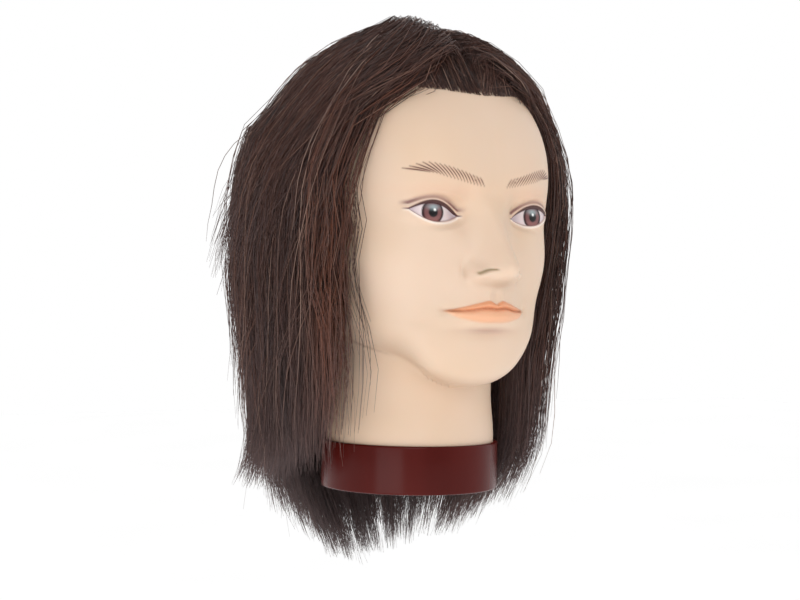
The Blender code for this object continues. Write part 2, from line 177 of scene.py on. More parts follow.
# ---------------------------------------------------------------------------------------------
# Base collar: a glossy maroon moulding pushed up round the neck's foot and glued to the vinyl.
# Its wall is drawn in a little at the lips, and its gloss wavers where the moulding sank.
# ---------------------------------------------------------------------------------------------

MM = 0.001
CLEARANCE = 0.3  # millimetres between pieces that touch
collar_low, collar_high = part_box("base_collar")
collar_radius = collar_high.x
collar_rounding = 1.1 * MM
corner_radius = collar_radius - collar_rounding
collar_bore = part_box("base_plate")[1].x + CLEARANCE * MM
ledge_bore = 42.0 * MM
ledge_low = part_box("base_plate")[1].z + CLEARANCE * MM
ledge_high = ledge_low + 2.0 * MM
COLLAR_COLUMNS = 180


def rounded_corner(centre_radius, centre_height, rounding, start, steps=6):
    """Points of a quarter circle in the XZ plane, from the start angle clockwise."""
    for step in range(steps + 1):
        angle = start - math.pi / 2 * step / steps
        yield centre_radius + rounding * math.cos(angle), centre_height + rounding * math.sin(angle)


def placed(name, data):
    """A new object at the origin that carries the mesh, curve, lamp or camera."""
    made = bpy.data.objects.new(name, data)
    bpy.context.scene.collection.objects.link(made)
    return made


def smooth_piece(bm, name, sharp_degrees):
    """Makes the bmesh an object that is shaded smooth, but for edges sharper than the angle."""
    mesh = bpy.data.meshes.new(name)
    bm.to_mesh(mesh)
    bm.free()
    mesh.shade_smooth()
    mesh.set_sharp_from_angle(angle=math.radians(sharp_degrees))
    return placed(name, mesh)


def spun(name, outline, columns):
    """A closed outline of (radius, height) points spun round the axis into a solid."""
    bm = bmesh.new()
    points = [bm.verts.new((radius, 0.0, height)) for radius, height in outline]
    edges = [bm.edges.new(pair) for pair in zip(points, points[1:] + points[:1])]
    turn = {"cent": (0, 0, 0), "axis": (0, 0, 1), "angle": math.tau, "steps": columns, "use_merge": True}
    bmesh.ops.spin(bm, geom=points + edges, **turn)
    bmesh.ops.remove_doubles(bm, verts=bm.verts, dist=1e-6)
    bmesh.ops.recalc_face_normals(bm, faces=bm.faces)
    return smooth_piece(bm, name, 40)


collar_outline = [
    *rounded_corner(corner_radius, collar_high.z - collar_rounding, collar_rounding, math.pi / 2),
    *rounded_corner(corner_radius, collar_low.z + collar_rounding, collar_rounding, 0.0),
    (collar_bore, collar_low.z),
    (collar_bore, ledge_low),
    (ledge_bore, ledge_low),
    (ledge_bore, ledge_high),
    (collar_bore, ledge_high),
    (collar_bore, collar_high.z),
]
collar = spun("glossy_collar", collar_outline, COLLAR_COLUMNS)

maroon, maroon_tree, maroon_shader = blank_finish("glossy_maroon", 0.13)
maroon_cloud = spread(maroon_tree, noise_at(maroon_tree, 24.0, 2.0, (1.0, 1.0, 0.3)), 0.3, 0.7)
maroon_colour = between(maroon_tree, maroon_cloud, srgb(72, 16, 12), srgb(86, 23, 18))
maroon_tree.links.new(maroon_colour, maroon_shader.inputs["Base Color"])
maroon_sink = noise_at(maroon_tree, 30.0, 1.0, (1.0, 1.0, 0.15))
maroon_gloss = spread(maroon_tree, maroon_sink, 0.3, 0.7, 0.16, 0.28)
maroon_tree.links.new(maroon_gloss, maroon_shader.inputs["Roughness"])
bumped(maroon_tree, maroon_shader, maroon_sink, 0.0006, 0.5)
maroon_shader.inputs["Specular IOR Level"].default_value = 0.14
collar.data.materials.append(maroon)
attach(collar, "root")
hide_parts("base_collar")

# ---------------------------------------------------------------------------------------------
# Vinyl head: one soft PVC shell, cast in a rotating mould. The skull, face and neck are lumps that
# run into one another; the nose, lips and lids are then pushed out and pressed in, in millimetres.
# ---------------------------------------------------------------------------------------------

SKULL = ((0, 10, 180), (73, 92, 82))
FLESH = (  # centre, radii and softness of the join; one off the middle is mirrored
    ((0, -24.3, 151.4), (61.1, 58.6, 84.8), 8),  # face
    ((21.3, -31.6, 182.4), (35.3, 45.2, 45.4), 14),  # forehead
    ((0, -59.9, 88.2), (36.0, 19.0, 27.1), 20),  # chin
    ((37.2, -19.5, 98.2), (15.5, 36.2, 11.3), 20),  # jaw
    ((32.9, -42.8, 131.1), (19.9, 22.4, 24.5), 16),  # cheek
)
NECK_RADII = (49.0, 47.2)  # at the foot, and above the flare
NECK_FLARE = (30.0, 56.0)  # the heights between which the neck narrows
NECK_TOP = 120.0
NECK_FOOT = ledge_high / MM + CLEARANCE
NECK_WALL = 3.8
JAW_SOFTNESS = 4.0
INSERT_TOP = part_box("neck_insert")[1].z / MM + CLEARANCE


def lump_depth(points, centre, radii):
    """Nearly the distance from each point to an ellipsoid, negative inside."""
    scaled = (points - np.array(centre, float)) / np.array(radii, float)
    reach = np.linalg.norm(scaled, axis=1)
    slope = np.linalg.norm(scaled / np.array(radii, float), axis=1)
    return np.where(slope > 1e-9, reach * (reach - 1.0) / np.maximum(slope, 1e-9), -min(radii))


def blended(first, second, softness):
    """The lesser of two depths, rounded off where they are nearly equal."""
    share = np.clip(0.5 + 0.5 * (second - first) / softness, 0.0, 1.0)
    return second + (first - second) * share - softness * share * (1.0 - share)


def eased(value, low, high):
    """0 below the low value and 1 above the high one, with a smooth rise between."""
    share = np.clip((value - low) / (high - low), 0.0, 1.0)
    return share * share * (3.0 - 2.0 * share)


def skull_and_neck(points):
    """How far each point is outside the skull with its flesh, and outside the neck, in millimetres."""
    folded = points.copy()
    folded[:, 0] = np.abs(folded[:, 0])
    depth = lump_depth(folded, *SKULL)
    for centre, radii, softness in FLESH:
        depth = blended(depth, lump_depth(folded, centre, radii), softness)
    flare = eased(points[:, 2], *NECK_FLARE)
    radius = NECK_RADII[0] + (NECK_RADII[1] - NECK_RADII[0]) * flare
    neck = np.maximum(np.hypot(points[:, 0], points[:, 1]) - radius, points[:, 2] - NECK_TOP)
    return depth, neck


def head_depth(points):
    """How far each point is outside the plain head form, in millimetres."""
    return blended(*skull_and_neck(points), JAW_SOFTNESS)


RAY_REACH = 170.0


def cast(starts, directions, steps=80, halvings=16):
    """Where each ray last leaves the head."""
    marks = np.linspace(0.0, RAY_REACH, steps)
    inside = np.zeros(len(starts), int)
    for index, mark in enumerate(marks):
        inside[head_depth(starts + directions * mark) < 0.0] = index
    near = marks[inside]
    far = marks[np.minimum(inside + 1, steps - 1)]
    for _ in range(halvings):
        middle = 0.5 * (near + far)
        within = head_depth(starts + directions * middle[:, None]) < 0.0
        near = np.where(within, middle, near)
        far = np.where(within, far, middle)
    return starts + directions * near[:, None]


def through(places, values, at):
    """A smooth curve through a few points."""
    places = np.array(places, float)
    values = np.array(values, float)
    slopes = np.gradient(values, places)
    at = np.clip(at, places[0], places[-1])
    span = np.clip(np.searchsorted(places, at) - 1, 0, len(places) - 2)
    width = places[span + 1] - places[span]
    t = (at - places[span]) / width
    start = (1 + 2 * t) * (1 - t) ** 2 * values[span] + t * (1 - t) ** 2 * width * slopes[span]
    return start + t * t * (3 - 2 * t) * values[span + 1] + t * t * (t - 1) * width * slopes[span + 1]


def hill(*spans):
    """A rounded hill, 1 at its top, from (offset, half width) pairs."""
    return np.exp(-sum((offset / width) ** 2 for offset, width in spans))


# The face's features. A line is given as distances from the middle, and the heights there.
EYE_SIDE, EYE_HEIGHT = 33.5, 156.0
EYE_INNER, EYE_OUTER = -15.5, 12.5
NOSE_HEIGHTS = (172, 165, 158, 148, 138, 131, 127.5, 124, 121.5, 119, 117, 114)
NOSE_FORWARD = (83.2, 83.0, 84.8, 89.8, 96.2, 101.6, 103.4, 102.2, 98.8, 92.2, 88.0, 87.2)
NOSE_WIDTHS = ((112, 117, 121, 126, 132, 140, 150, 160, 172), (7.5, 9, 10.4, 10.0, 9.2, 7.8, 6.8, 6.4, 8.0))
NOSTRIL_START, NOSTRIL_LENGTH = 6.8, 6.4
LIP_ENDS = 25.5
LIP_LINE = ((0, 6, 15, 25.5), (104.6, 105.0, 103.7, 103.3))
LIP_TOP = ((0, 3.6, 9, 15.7, 25.5), (107.2, 109.0, 108.1, 106.2, 103.6))
LIP_BOTTOM = ((0, 8, 15.5, 20.7, 25.5), (97.2, 97.4, 98.8, 100.2, 103.0))
# Rounded forms: how far forward, distance from the middle and half width, height and half height.
NOSE_WINGS = (
    (6.2, 12.4, 4.0, 123.8, 4.1),  # wing
    (-2.0, 17.3, 1.8, 124.8, 5.0),  # crease behind it
)
BROW_FORMS = (
    (-6.0, 17.0, 7.0, 157.0, 11.0),  # hollow beside the bridge
    (-1.1, 31.0, 15.0, 168.0, 4.0),  # hollow above the lid
    (0.7, 24.0, 17.0, 176.5, 6.0),  # brow
)
MOUTH_FORMS = (
    (-1.2, 26.5, 2.6, 103.4, 2.6),  # dent at the lips' corner
    (-0.7, 0.0, 2.3, 112.5, 4.5),  # groove under the nose
    (0.35, 4.4, 1.5, 112.0, 4.5),  # its edge
    (-1.9, 0.0, 15.0, 92.6, 3.6),  # hollow above the chin
)


def lid_lines(side, height):
    """Offsets from the eye's centre, and how far they are above its upper lid line, below its lower lid
    line, and past its corners."""
    u = side - EYE_SIDE
    w = height - EYE_HEIGHT
    t = np.clip((u - EYE_INNER) / (EYE_OUTER - EYE_INNER), 0.0, 1.0)
    arch = 4 * t * (1 - t)
    above = w - (-1.0 + 3.3 * t + 4.9 * arch**1.1)
    below = (-1.0 + 3.3 * t**3 - 3.9 * arch**0.8) - w
    outside = np.maximum(EYE_INNER - u, u - EYE_OUTER)
    return u, w, above, below, outside


def muzzle(side, height):
    """How far the low mound that carries the lips stands forward."""
    return 6.3 * np.exp(-((side / 19.5) ** 2)) * eased(height, 91, 101) * (1 - eased(height, 117, 133))


def add_forms(push, side, height, forms):
    for forward, across, half_width, up, half_height in forms:
        push += forward * hill((side - across, half_width), (height - up, half_height))


def feature_push(x, height, forward):
    """How far the face's features push the plain form forward, in millimetres."""
    side = np.abs(x)
    push = np.zeros(len(x))
    push += muzzle(side, height)
    # nose, as a ridge on the face's middle line, with its wings and nostrils
    levels = np.arange(110.0, 176.0, 1.0)
    middle = np.stack([0 * levels, 0 * levels, levels], 1)
    bare = -cast(middle, np.tile([0.0, -1.0, 0.0], (len(levels), 1)))[:, 1]
    rise = through(NOSE_HEIGHTS[::-1], NOSE_FORWARD[::-1], levels) - bare - muzzle(0.0, levels)
    rise *= eased(levels, 113, 118) * (1 - eased(levels, 166, 174))
    tall = np.interp(height, levels, rise, left=0.0, right=0.0)
    push += tall * np.exp(-((side / through(*NOSE_WIDTHS, height)) ** 2.3))
    add_forms(push, side, height, NOSE_WINGS)
    push -= 1.6 * nostril(side, height, 1.1)
    add_forms(push, side, height, BROW_FORMS)
    # lips, and the line between them
    line = through(*LIP_LINE, side)
    top = through(*LIP_TOP, side)
    bottom = through(*LIP_BOTTOM, side)
    fade = np.sqrt(np.clip(1.0 - (side / LIP_ENDS) ** 2, 0.0, 1.0))
    upper = np.clip((height - line) / (top - line + 0.01), 0.0, 1.0)
    lower = np.clip((line - height) / (line - bottom + 0.01), 0.0, 1.0)
    push += fade * (1.9 * np.sin(np.pi * upper) ** 0.8 * (height > line))
    push += fade * (2.4 * np.sin(np.pi * lower) ** 0.8 * (height <= line))
    push -= 0.8 * hill((height - line, 0.9)) * np.where(side < LIP_ENDS + 1, 1.0, 0.0) * (0.35 + 0.65 * fade)
    add_forms(push, side, height, MOUTH_FORMS)
    # lids and eyeballs: the painted ball is set back between the raised lids
    u, w, above, below, outside = lid_lines(side, height)
    ball = 73.4 - 0.138 * u - 0.0223 * u * u - 0.030 * w * w
    near = hill((u + 1.5, 17.0), (w - 0.6, 9.5))
    near = eased(near, 0.25, 0.75)
    push += near * (ball - forward - push)
    open_by = np.minimum(-np.maximum(above, below), -outside)
    inside = eased(open_by, -0.7, 0.5)
    push -= 0.9 * inside
    lid = np.clip(1.0 - np.maximum(outside, 0.0) / 3.0, 0.0, 1.0)
    push += 1.05 * lid * hill((above - 1.1, 1.3)) * (above > -1.0)
    push -= 0.8 * lid * hill((above - 3.9, 1.0))
    push += 0.75 * lid * hill((below - 0.9, 1.3)) * (below > -1.0)
    return push


def nostril(side, height, width):
    """A short crease from the nose's tip down to its wing."""
    share = np.clip((side - NOSTRIL_START) / NOSTRIL_LENGTH, 0.0, 1.0)
    crease = 126.0 - 2.0 * share + 0.7 * np.sin(np.pi * share)
    away = np.hypot(side - (NOSTRIL_START + NOSTRIL_LENGTH * share), height - crease)
    return np.exp(-((away / (width * (0.45 + 0.55 * share))) ** 2))


HEAD_COLUMNS = 208
HEAD_ROWS = 192
FRONT_CROWDING = 0.55  # how much closer the columns are at the face
# The rays start on a spine: level ones from the neck, then from the head's sides, and a fan at the top.
NECK_ROWS, SIDE_ROWS, FAN_ROWS = 0.12, 0.56, 0.32
SPINE_FOOT, SPINE_TOP, SPINE_BACK = 60.0, 185.0, 10.0
FACE_FADE = (8.0, 40.0)  # the features fade in over these distances in front of the neck's axis
REFINED = (  # distances from the middle, heights, and cuts
    ((13, 52), (142, 187), 2),  # eyes and brows
    ((6, 53), (169, 188), 1),  # brows again
    ((-1, 29), (94, 128), 2),  # mouth and nostrils
    ((-1, 22), (128, 160), 1),  # nose
)


def spine_ray(share, even):
    """Start and direction of the ray for a share of the way up the head and an even azimuth."""
    azimuth = even - FRONT_CROWDING * math.sin(even)
    polar = math.pi / 2
    if share < NECK_ROWS:
        start = (0.0, 0.0, NECK_FOOT + (SPINE_FOOT - NECK_FOOT) * share / NECK_ROWS)
    elif share < NECK_ROWS + SIDE_ROWS:
        along = (share - NECK_ROWS) / SIDE_ROWS
        start = (0.0, SPINE_BACK * min(1.0, along / 0.7), SPINE_FOOT + (SPINE_TOP - SPINE_FOOT) * along)
    else:
        start = (0.0, SPINE_BACK, SPINE_TOP)
        polar = math.pi / 2 * (1.0 - share) / FAN_ROWS
    level = math.sin(polar)
    return start, (math.sin(azimuth) * level, -math.cos(azimuth) * level, math.cos(polar))


def in_box(vert, side, height):
    """Whether a front vertex lies within a range of distances from the middle and of heights."""
    return vert.co.y < 0 and side[0] < abs(vert.co.x) < side[1] and height[0] < vert.co.z < height[1]


def refine(bm, side, height, cuts):
    """Cuts the faces in an area of the face finer."""
    chosen = [face for face in bm.faces if all(in_box(vert, side, height) for vert in face.verts)]
    edges = list(dict.fromkeys(edge for face in chosen for edge in face.edges))  # in the same order each run
    bmesh.ops.subdivide_edges(bm, edges=edges, cuts=cuts, use_grid_fill=True)


def of_vertices(mesh, what):
    """The coordinates or the normals of a mesh's vertices, as an array."""
    flat = np.empty(len(mesh.vertices) * 3, np.float32)
    mesh.vertices.foreach_get(what, flat)
    return flat.reshape(-1, 3)


def vinyl_head():
    bm = bmesh.new()
    bmesh.ops.create_uvsphere(bm, u_segments=HEAD_COLUMNS, v_segments=HEAD_ROWS, radius=1.0)
    bmesh.ops.delete(bm, geom=[min(bm.verts, key=lambda vert: vert.co.z)], context="VERTS")
    rays = []
    for vert in bm.verts:
        share = 1.0 - math.acos(max(-1.0, min(1.0, vert.co.z))) / math.pi
        share = (share * HEAD_ROWS - 1.0) / (HEAD_ROWS - 1.0)
        rays.append(spine_ray(share, math.atan2(vert.co.x, -vert.co.y)))
    starts, directions = (np.array(part, float) for part in zip(*rays))
    for vert, place in zip(bm.verts, cast(starts, directions)):
        vert.co = place
    for side, height, cuts in REFINED:
        refine(bm, side, height, cuts)
    places = np.array([vert.co[:] for vert in bm.verts])
    front = places[:, 1] < -FACE_FADE[0]
    push = np.zeros(len(places))
    push[front] = feature_push(places[front, 0], places[front, 2], -places[front, 1])
    push *= eased(-places[:, 1], *FACE_FADE)
    for vert, forward in zip(bm.verts, push):
        vert.co.y -= forward
    # the neck's open foot turns in and up, as far as the neck insert
    rim = [edge for edge in bm.edges if edge.is_boundary]
    inner_share = (NECK_RADII[0] - NECK_WALL) / NECK_RADII[0]
    for narrowed, height in ((inner_share, NECK_FOOT), (1.0, INSERT_TOP)):
        grown = bmesh.ops.extrude_edge_only(bm, edges=rim)
        verts = [item for item in grown["geom"] if isinstance(item, bmesh.types.BMVert)]
        rim = [item for item in grown["geom"] if isinstance(item, bmesh.types.BMEdge)]
        for vert in verts:
            vert.co = (vert.co.x * narrowed, vert.co.y * narrowed, height)
    bmesh.ops.contextual_create(bm, geom=rim)
    bmesh.ops.scale(bm, vec=(MM, MM, MM), verts=bm.verts)
    bmesh.ops.recalc_face_normals(bm, faces=bm.faces)
    return smooth_piece(bm, "vinyl_head", 60)


head = vinyl_head()
head_places = of_vertices(head.data, "co").astype(float) / MM

# Hairline, as the azimuth from the front at which the hair starts, for heights down the temple.
HAIRLINE_HEIGHTS = (60, 108, 129, 140, 145, 158, 171, 192, 207, 216, 222)
HAIRLINE_AZIMUTHS = (120, 84, 70, 62, 54, 55, 56, 50.5, 44, 40, 37)
# Its front edge above the forehead, as azimuths and the heights there.
FRONT_EDGE = ((0, 10, 22, 32, 38, 44), (222, 223, 224.5, 224.5, 221, 206))


def azimuth_of(points):
    return np.degrees(np.arctan2(np.abs(points[:, 0]), SPINE_BACK - points[:, 1]))


def behind_hairline(points):
    """Roughly how many millimetres each point on the scalp lies behind the hairline."""
    edge = through(HAIRLINE_HEIGHTS, HAIRLINE_AZIMUTHS, points[:, 2])
    beside = (azimuth_of(points) - edge) * 1.2
    over = (points[:, 2] - through(*FRONT_EDGE, azimuth_of(points))) * (azimuth_of(points) < 46)
    return np.maximum(beside, over)


# Paint. Each coat is sprayed or brushed through a mask: a point attribute says how strongly. A few coats are
# painted shade and painted highlights, not paint that the head has.
head_side = np.abs(head_places[:, 0])
head_height = head_places[:, 2]
on_face = head_places[:, 1] < -20.0
coats = []


def coat(name, strength, colour):
    """Adds a coat of paint: where it lies on the head, and its colour. Some coats are the head's own paint,
    some are painted shade and painted highlights.
    """
    layer = head.data.attributes.new(name, "FLOAT", "POINT")
    layer.data.foreach_set("value", np.clip(strength, 0.0, 1.0).astype(np.float32))
    coats.append((name, colour))


def edge_soft(distance, softness):
    """1 where the distance is well inside, 0 well outside, soft between."""
    return eased(distance, -softness, softness)


eye_u, eye_w, above_lid, below_lid, past_corner = lid_lines(head_side, head_height)
opening = edge_soft(np.minimum(-np.maximum(above_lid, below_lid), -past_corner), 0.28) * on_face
corner = np.clip(1.0 - past_corner / 2.5, 0.0, 1.0) * on_face
taper = np.clip((eye_u - EYE_INNER) / (EYE_OUTER - EYE_INNER), 0.0, 1.0)
iris_reach = np.hypot(eye_u + 0.2, eye_w - 0.5)
IRIS_RADIUS = 6.5
PUPIL_RADIUS = 2.7

blush = hill((head_side - 30.0, 20.0), (head_height - 168.0, 5.0)) * on_face
coat("lid_blush", 0.35 * blush, srgb(226, 178, 150))
deepest = 0.6 + 0.3 * hill((eye_u + 13.0, 5.0)) + 0.25 * hill((eye_u - 12.0, 4.0))
crease = hill((above_lid - 3.1, 1.2)) * deepest
coat("crease_shade", 1.1 * crease * np.clip(1.0 - past_corner / 4.0, 0.0, 1.0) * on_face, srgb(136, 96, 94))
coat("lid_edge", 0.6 * hill((above_lid - 1.85, 0.3)) * corner, srgb(250, 226, 214))
coat("lower_rim", 0.9 * hill((below_lid - 0.7, 0.75)) * corner, srgb(255, 240, 230))
coat("eye_white", opening, srgb(226, 211, 212))
corner_grey = opening * edge_soft(np.abs(eye_u + 1.0) - 9.5, 3.0)
coat("eye_corner", 0.55 * corner_grey, srgb(176, 150, 158))
coat("iris_rim", opening * edge_soft(IRIS_RADIUS - iris_reach, 0.3), srgb(44, 16, 20))
coat("iris", opening * edge_soft(IRIS_RADIUS - 1.4 - iris_reach, 0.7), srgb(122, 78, 78))
glow = opening * edge_soft(IRIS_RADIUS - 1.2 - iris_reach, 0.8) * edge_soft(-(eye_w + 2.2), 1.6)
coat("iris_glow", 0.6 * glow, srgb(158, 108, 104))
coat("pupil", opening * edge_soft(PUPIL_RADIUS - iris_reach, 0.45), srgb(14, 8, 10))
# painted reflection across the top of the iris, and a small painted highlight beside the pupil
sky = opening * hill((eye_u + 0.4, 3.4), (eye_w - 3.4, 1.5)) * edge_soft(IRIS_RADIUS - 0.6 - iris_reach, 0.5)
coat("eye_sheen", 0.85 * sky, srgb(168, 186, 190))
glint_side = np.where(head_places[:, 0] < 0.0, -1.1, -0.2)
glint = opening * edge_soft(0.75 - np.hypot(eye_u - glint_side, eye_w - 1.9), 0.4)
coat("glint", glint, srgb(255, 255, 255))
lash_height = 0.3 + 1.35 * np.sin(np.pi * taper) ** 0.7
lash = edge_soft(above_lid + 0.6, 0.3) * edge_soft(lash_height - above_lid, 0.35)
coat("lash_line", 0.96 * lash * corner, srgb(64, 24, 28))
coat("lower_line", 0.55 * hill((below_lid + 0.1, 0.35)) * corner, srgb(150, 104, 100))

lip_line = through(*LIP_LINE, head_side)
lip_top = through(*LIP_TOP, head_side)
lip_bottom = through(*LIP_BOTTOM, head_side)
lip_fade = edge_soft(LIP_ENDS - head_side, 1.2) * on_face
upper_lip = edge_soft(lip_top - head_height, 0.45) * edge_soft(head_height - lip_line, 0.3) * lip_fade
lower_lip = edge_soft(head_height - lip_bottom, 1.1) * edge_soft(lip_line - head_height, 0.3) * lip_fade
coat("upper_lip", upper_lip, srgb(230, 162, 122))
coat("lower_lip", 0.92 * lower_lip, srgb(237, 179, 141))
# painted shade along the crease between the lips
lip_crease_shade = hill((head_height - lip_line, 0.55)) * edge_soft(LIP_ENDS + 0.5 - head_side, 1.0) * on_face
coat("lip_line", 0.4 * lip_crease_shade, srgb(190, 118, 78))
# painted shade in the dents at the lips' corners
corner_dark = hill((head_side - 22.5, 4.0), (head_height - lip_line - 0.3, 0.9)) * on_face
coat("lip_corner_shade", 0.7 * corner_dark, srgb(170, 112, 80))
# painted shade under the lower lip, under the nose's tip, beside its wings and in the nostril creases
coat("lip_shade", 0.8 * hill((head_side, 15.0), (head_height - 92.8, 1.6)) * on_face, srgb(188, 152, 136))
coat("nose_shade", 0.75 * hill((head_side, 10.5), (head_height - 118.0, 2.6)) * on_face, srgb(198, 170, 146))
wing = hill((head_side - 17.2, 0.9), (head_height - 123.4, 3.8)) * on_face
coat("wing_shade", 0.35 * wing, srgb(188, 156, 130))
coat("nostril_shade", 0.8 * nostril(head_side, head_height, 1.0) * on_face, srgb(128, 108, 66))

# painted shade where the jaw meets the neck, and under the chin
skull_outside, neck_outside = skull_and_neck(head_places)
under_jaw = (head_places[:, 1] < 12.0) & (head_height > 30.0)
jaw_fade = edge_soft(10.0 - head_places[:, 1], 12.0) * edge_soft(head_side - 38.0, 7.0)
# a thin painted shade line along the crease between jaw and neck
jaw_meets_neck = hill((skull_outside - neck_outside + 0.6, 0.8)) * under_jaw * jaw_fade
coat("jaw_shade", 0.55 * jaw_meets_neck, srgb(150, 112, 90))
downward = -of_vertices(head.data, "normal")[:, 2]
facing_down = eased(downward, 0.6, 0.95) * edge_soft(38.0 - head_side, 14.0)
coat("chin_shade", 0.3 * facing_down * edge_soft(88.0 - head_height, 4.0) * under_jaw, srgb(172, 134, 110))

BROW_STROKES = 17
BROW_START, BROW_LENGTH = 8.8, 33.7
BROW_SPINE = ((8.5, 16, 24, 32, 40, 48.5), (173.2, 174.8, 176.9, 179.0, 180.6, 178.8))
BROW_THICK = ((8.5, 16, 24, 32, 40, 48.5), (1.8, 2.4, 2.9, 3.2, 2.6, 0.4))


def brow_strength(side, height):
    """Fine brushed strokes that lean outwards, longer and flatter towards the brow's tail."""
    strength = np.zeros(len(side))
    for index in range(BROW_STROKES):
        share = index / (BROW_STROKES - 1)
        centre = BROW_START + BROW_LENGTH * share
        lean = 1.1 + 1.9 * share + 1.6 * max(0.0, share - 0.7) / 0.3
        thick = float(through(*BROW_THICK, np.array([centre]))[0])
        foot_level, head_level = through(*BROW_SPINE, np.array([centre, centre + 1.4 * lean]))
        low = float(foot_level) - thick - 0.10 * lean * share
        high = float(head_level) + thick * (1.0 - 0.55 * share**4)
        t = np.clip((side - (centre - lean)) / (2.4 * lean), 0.0, 1.0)
        on_side = centre - lean + 2.4 * lean * t
        on_height = low + (high - low) * t**0.85
        away = np.hypot(side - on_side, (height - on_height) * 0.75)
        width = 0.46 - 0.12 * share
        ends = np.sin(np.pi * np.clip(t, 0.06, 0.94)) ** 0.35
        strength = np.maximum(strength, np.exp(-((away / width) ** 2)) * ends)
    return strength


brow_area = on_face & (head_height > 165) & (head_height < 192) & (head_side > 4) & (head_side < 58)
brow = np.zeros(len(head_side))
brow[brow_area] = brow_strength(head_side[brow_area], head_height[brow_area])
wash = edge_soft(through(*BROW_THICK, head_side) - np.abs(head_height - through(*BROW_SPINE, head_side)), 1.2)
wash *= edge_soft(head_side - 9.0, 1.5) * edge_soft(47.0 - head_side, 1.5) * brow_area
coat("brow_wash", 0.14 * wash, srgb(196, 152, 128))
coat("brow_strokes", brow, srgb(92, 42, 34))
# the scalp under the hair painted dark brown, partly a painted shade for the dark inside of the hair
under_hair_shade = eased(behind_hairline(head_places), -0.5, 4.5) * edge_soft(head_height - 70.0, 4.0)
coat("rooted_scalp_shade", under_hair_shade, srgb(44, 27, 23))


def attribute_of(tree, name):
    """A point attribute of the mesh, as a value in the material."""
    reader = tree.nodes.new("ShaderNodeAttribute")
    reader.attribute_name = name
    return reader.outputs["Fac"]


vinyl, vinyl_tree, vinyl_shader = blank_finish("painted_vinyl", 0.42)
vinyl_cloud = spread(vinyl_tree, noise_at(vinyl_tree, 16.0, 2.0), 0.35, 0.65)
surface_colour = between(vinyl_tree, vinyl_cloud, srgb(225, 196, 169), srgb(228, 201, 178))
for coat_name, coat_colour in coats:
    surface_colour = between(vinyl_tree, attribute_of(vinyl_tree, coat_name), surface_colour, coat_colour)
vinyl_tree.links.new(surface_colour, vinyl_shader.inputs["Base Color"])
vinyl_pores = noise_at(vinyl_tree, 1500.0, 2.0)
vinyl_sheen = spread(vinyl_tree, vinyl_pores, 0.3, 0.7, 0.42, 0.54)
painted_eye = attribute_of(vinyl_tree, "eye_white")
eye_gloss = vinyl_tree.nodes.new("ShaderNodeMix")
eye_gloss.inputs["B"].default_value = 0.16
vinyl_tree.links.new(painted_eye, eye_gloss.inputs["Factor"])
vinyl_tree.links.new(vinyl_sheen, eye_gloss.inputs["A"])
vinyl_tree.links.new(eye_gloss.outputs["Result"], vinyl_shader.inputs["Roughness"])
bumped(vinyl_tree, vinyl_shader, vinyl_pores, 0.00004)
vinyl_shader.inputs["Subsurface Weight"].default_value = 0.12
vinyl_shader.inputs["Subsurface Radius"].default_value = (1.0, 0.45, 0.3)
vinyl_shader.inputs["Subsurface Scale"].default_value = 0.004
vinyl_shader.inputs["Specular IOR Level"].default_value = 0.4
head.data.materials.append(vinyl)
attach(head, "root")
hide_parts("head_skin")

# ---------------------------------------------------------------------------------------------
# Hair: dark brown straight hair, hooked through the vinyl in rows from the hairline to the nape
# and cut in layers. Every strand is a thin tapering tube that rises out of the scalp, arcs away
# from the middle parting, and hangs. One mesh holds each section, left and right.
# ---------------------------------------------------------------------------------------------

HAIR_CENTRE = (0.0, 9.0, 165.0)
hair_half_width = cad_box[1][0] / MM
hair_depth_back = cad_box[1][1] / MM - HAIR_CENTRE[1]
hair_top = cad_box[1][2] / MM
FAN_HEIGHT = 150.0  # strands are placed by rays: level ones up to here, and a fan above
FALL_RADIUS = 107.0
LOWEST_HEIGHT = -75.0
FALL_END = math.pi / 2 + (FAN_HEIGHT - LOWEST_HEIGHT) / FALL_RADIUS
TABLE_AZIMUTHS = 91
TABLE_FALLS = 150
HEAD_OF_HAIR_SEED = 7


def fall_of(height):
    """How far a height is down the hair: an angle from the crown, then a drop over the fall radius."""
    over = np.clip((height - FAN_HEIGHT) / (hair_top - FAN_HEIGHT), 0.0, 1.0)
    below = math.pi / 2 + (FAN_HEIGHT - height) / FALL_RADIUS
    return np.where(height > FAN_HEIGHT, np.arccos(over), below)


def hair_rays(azimuth, fall):
    """Starts on the spine and directions of the rays for azimuths and falls."""
    drop = np.maximum(0.0, fall - math.pi / 2) * FALL_RADIUS
    polar = np.minimum(fall, math.pi / 2)
    starts = np.stack([0 * drop, 0 * drop + SPINE_BACK, FAN_HEIGHT - drop], -1)
    outward = np.sin(polar)
    directions = np.stack([np.sin(azimuth) * outward, -np.cos(azimuth) * outward, np.cos(polar)], -1)
    return starts, directions


def hair_form_depth(points):
    """The outer form of the hair: a dome on a curtain that narrows a little towards its tips."""
    away = points - np.array(HAIR_CENTRE)
    width = 1.0 - 0.10 * np.clip(-away[:, 2] / 200.0, 0.0, 1.0)
    rise = np.maximum(away[:, 2], 0.0) / (hair_top - HAIR_CENTRE[2])
    across = away[:, 0] / (hair_half_width * width)
    along = away[:, 1] / (hair_depth_back * width)
    return (np.sqrt(across**2 + along**2 + rise**2) - 1.0) * hair_half_width


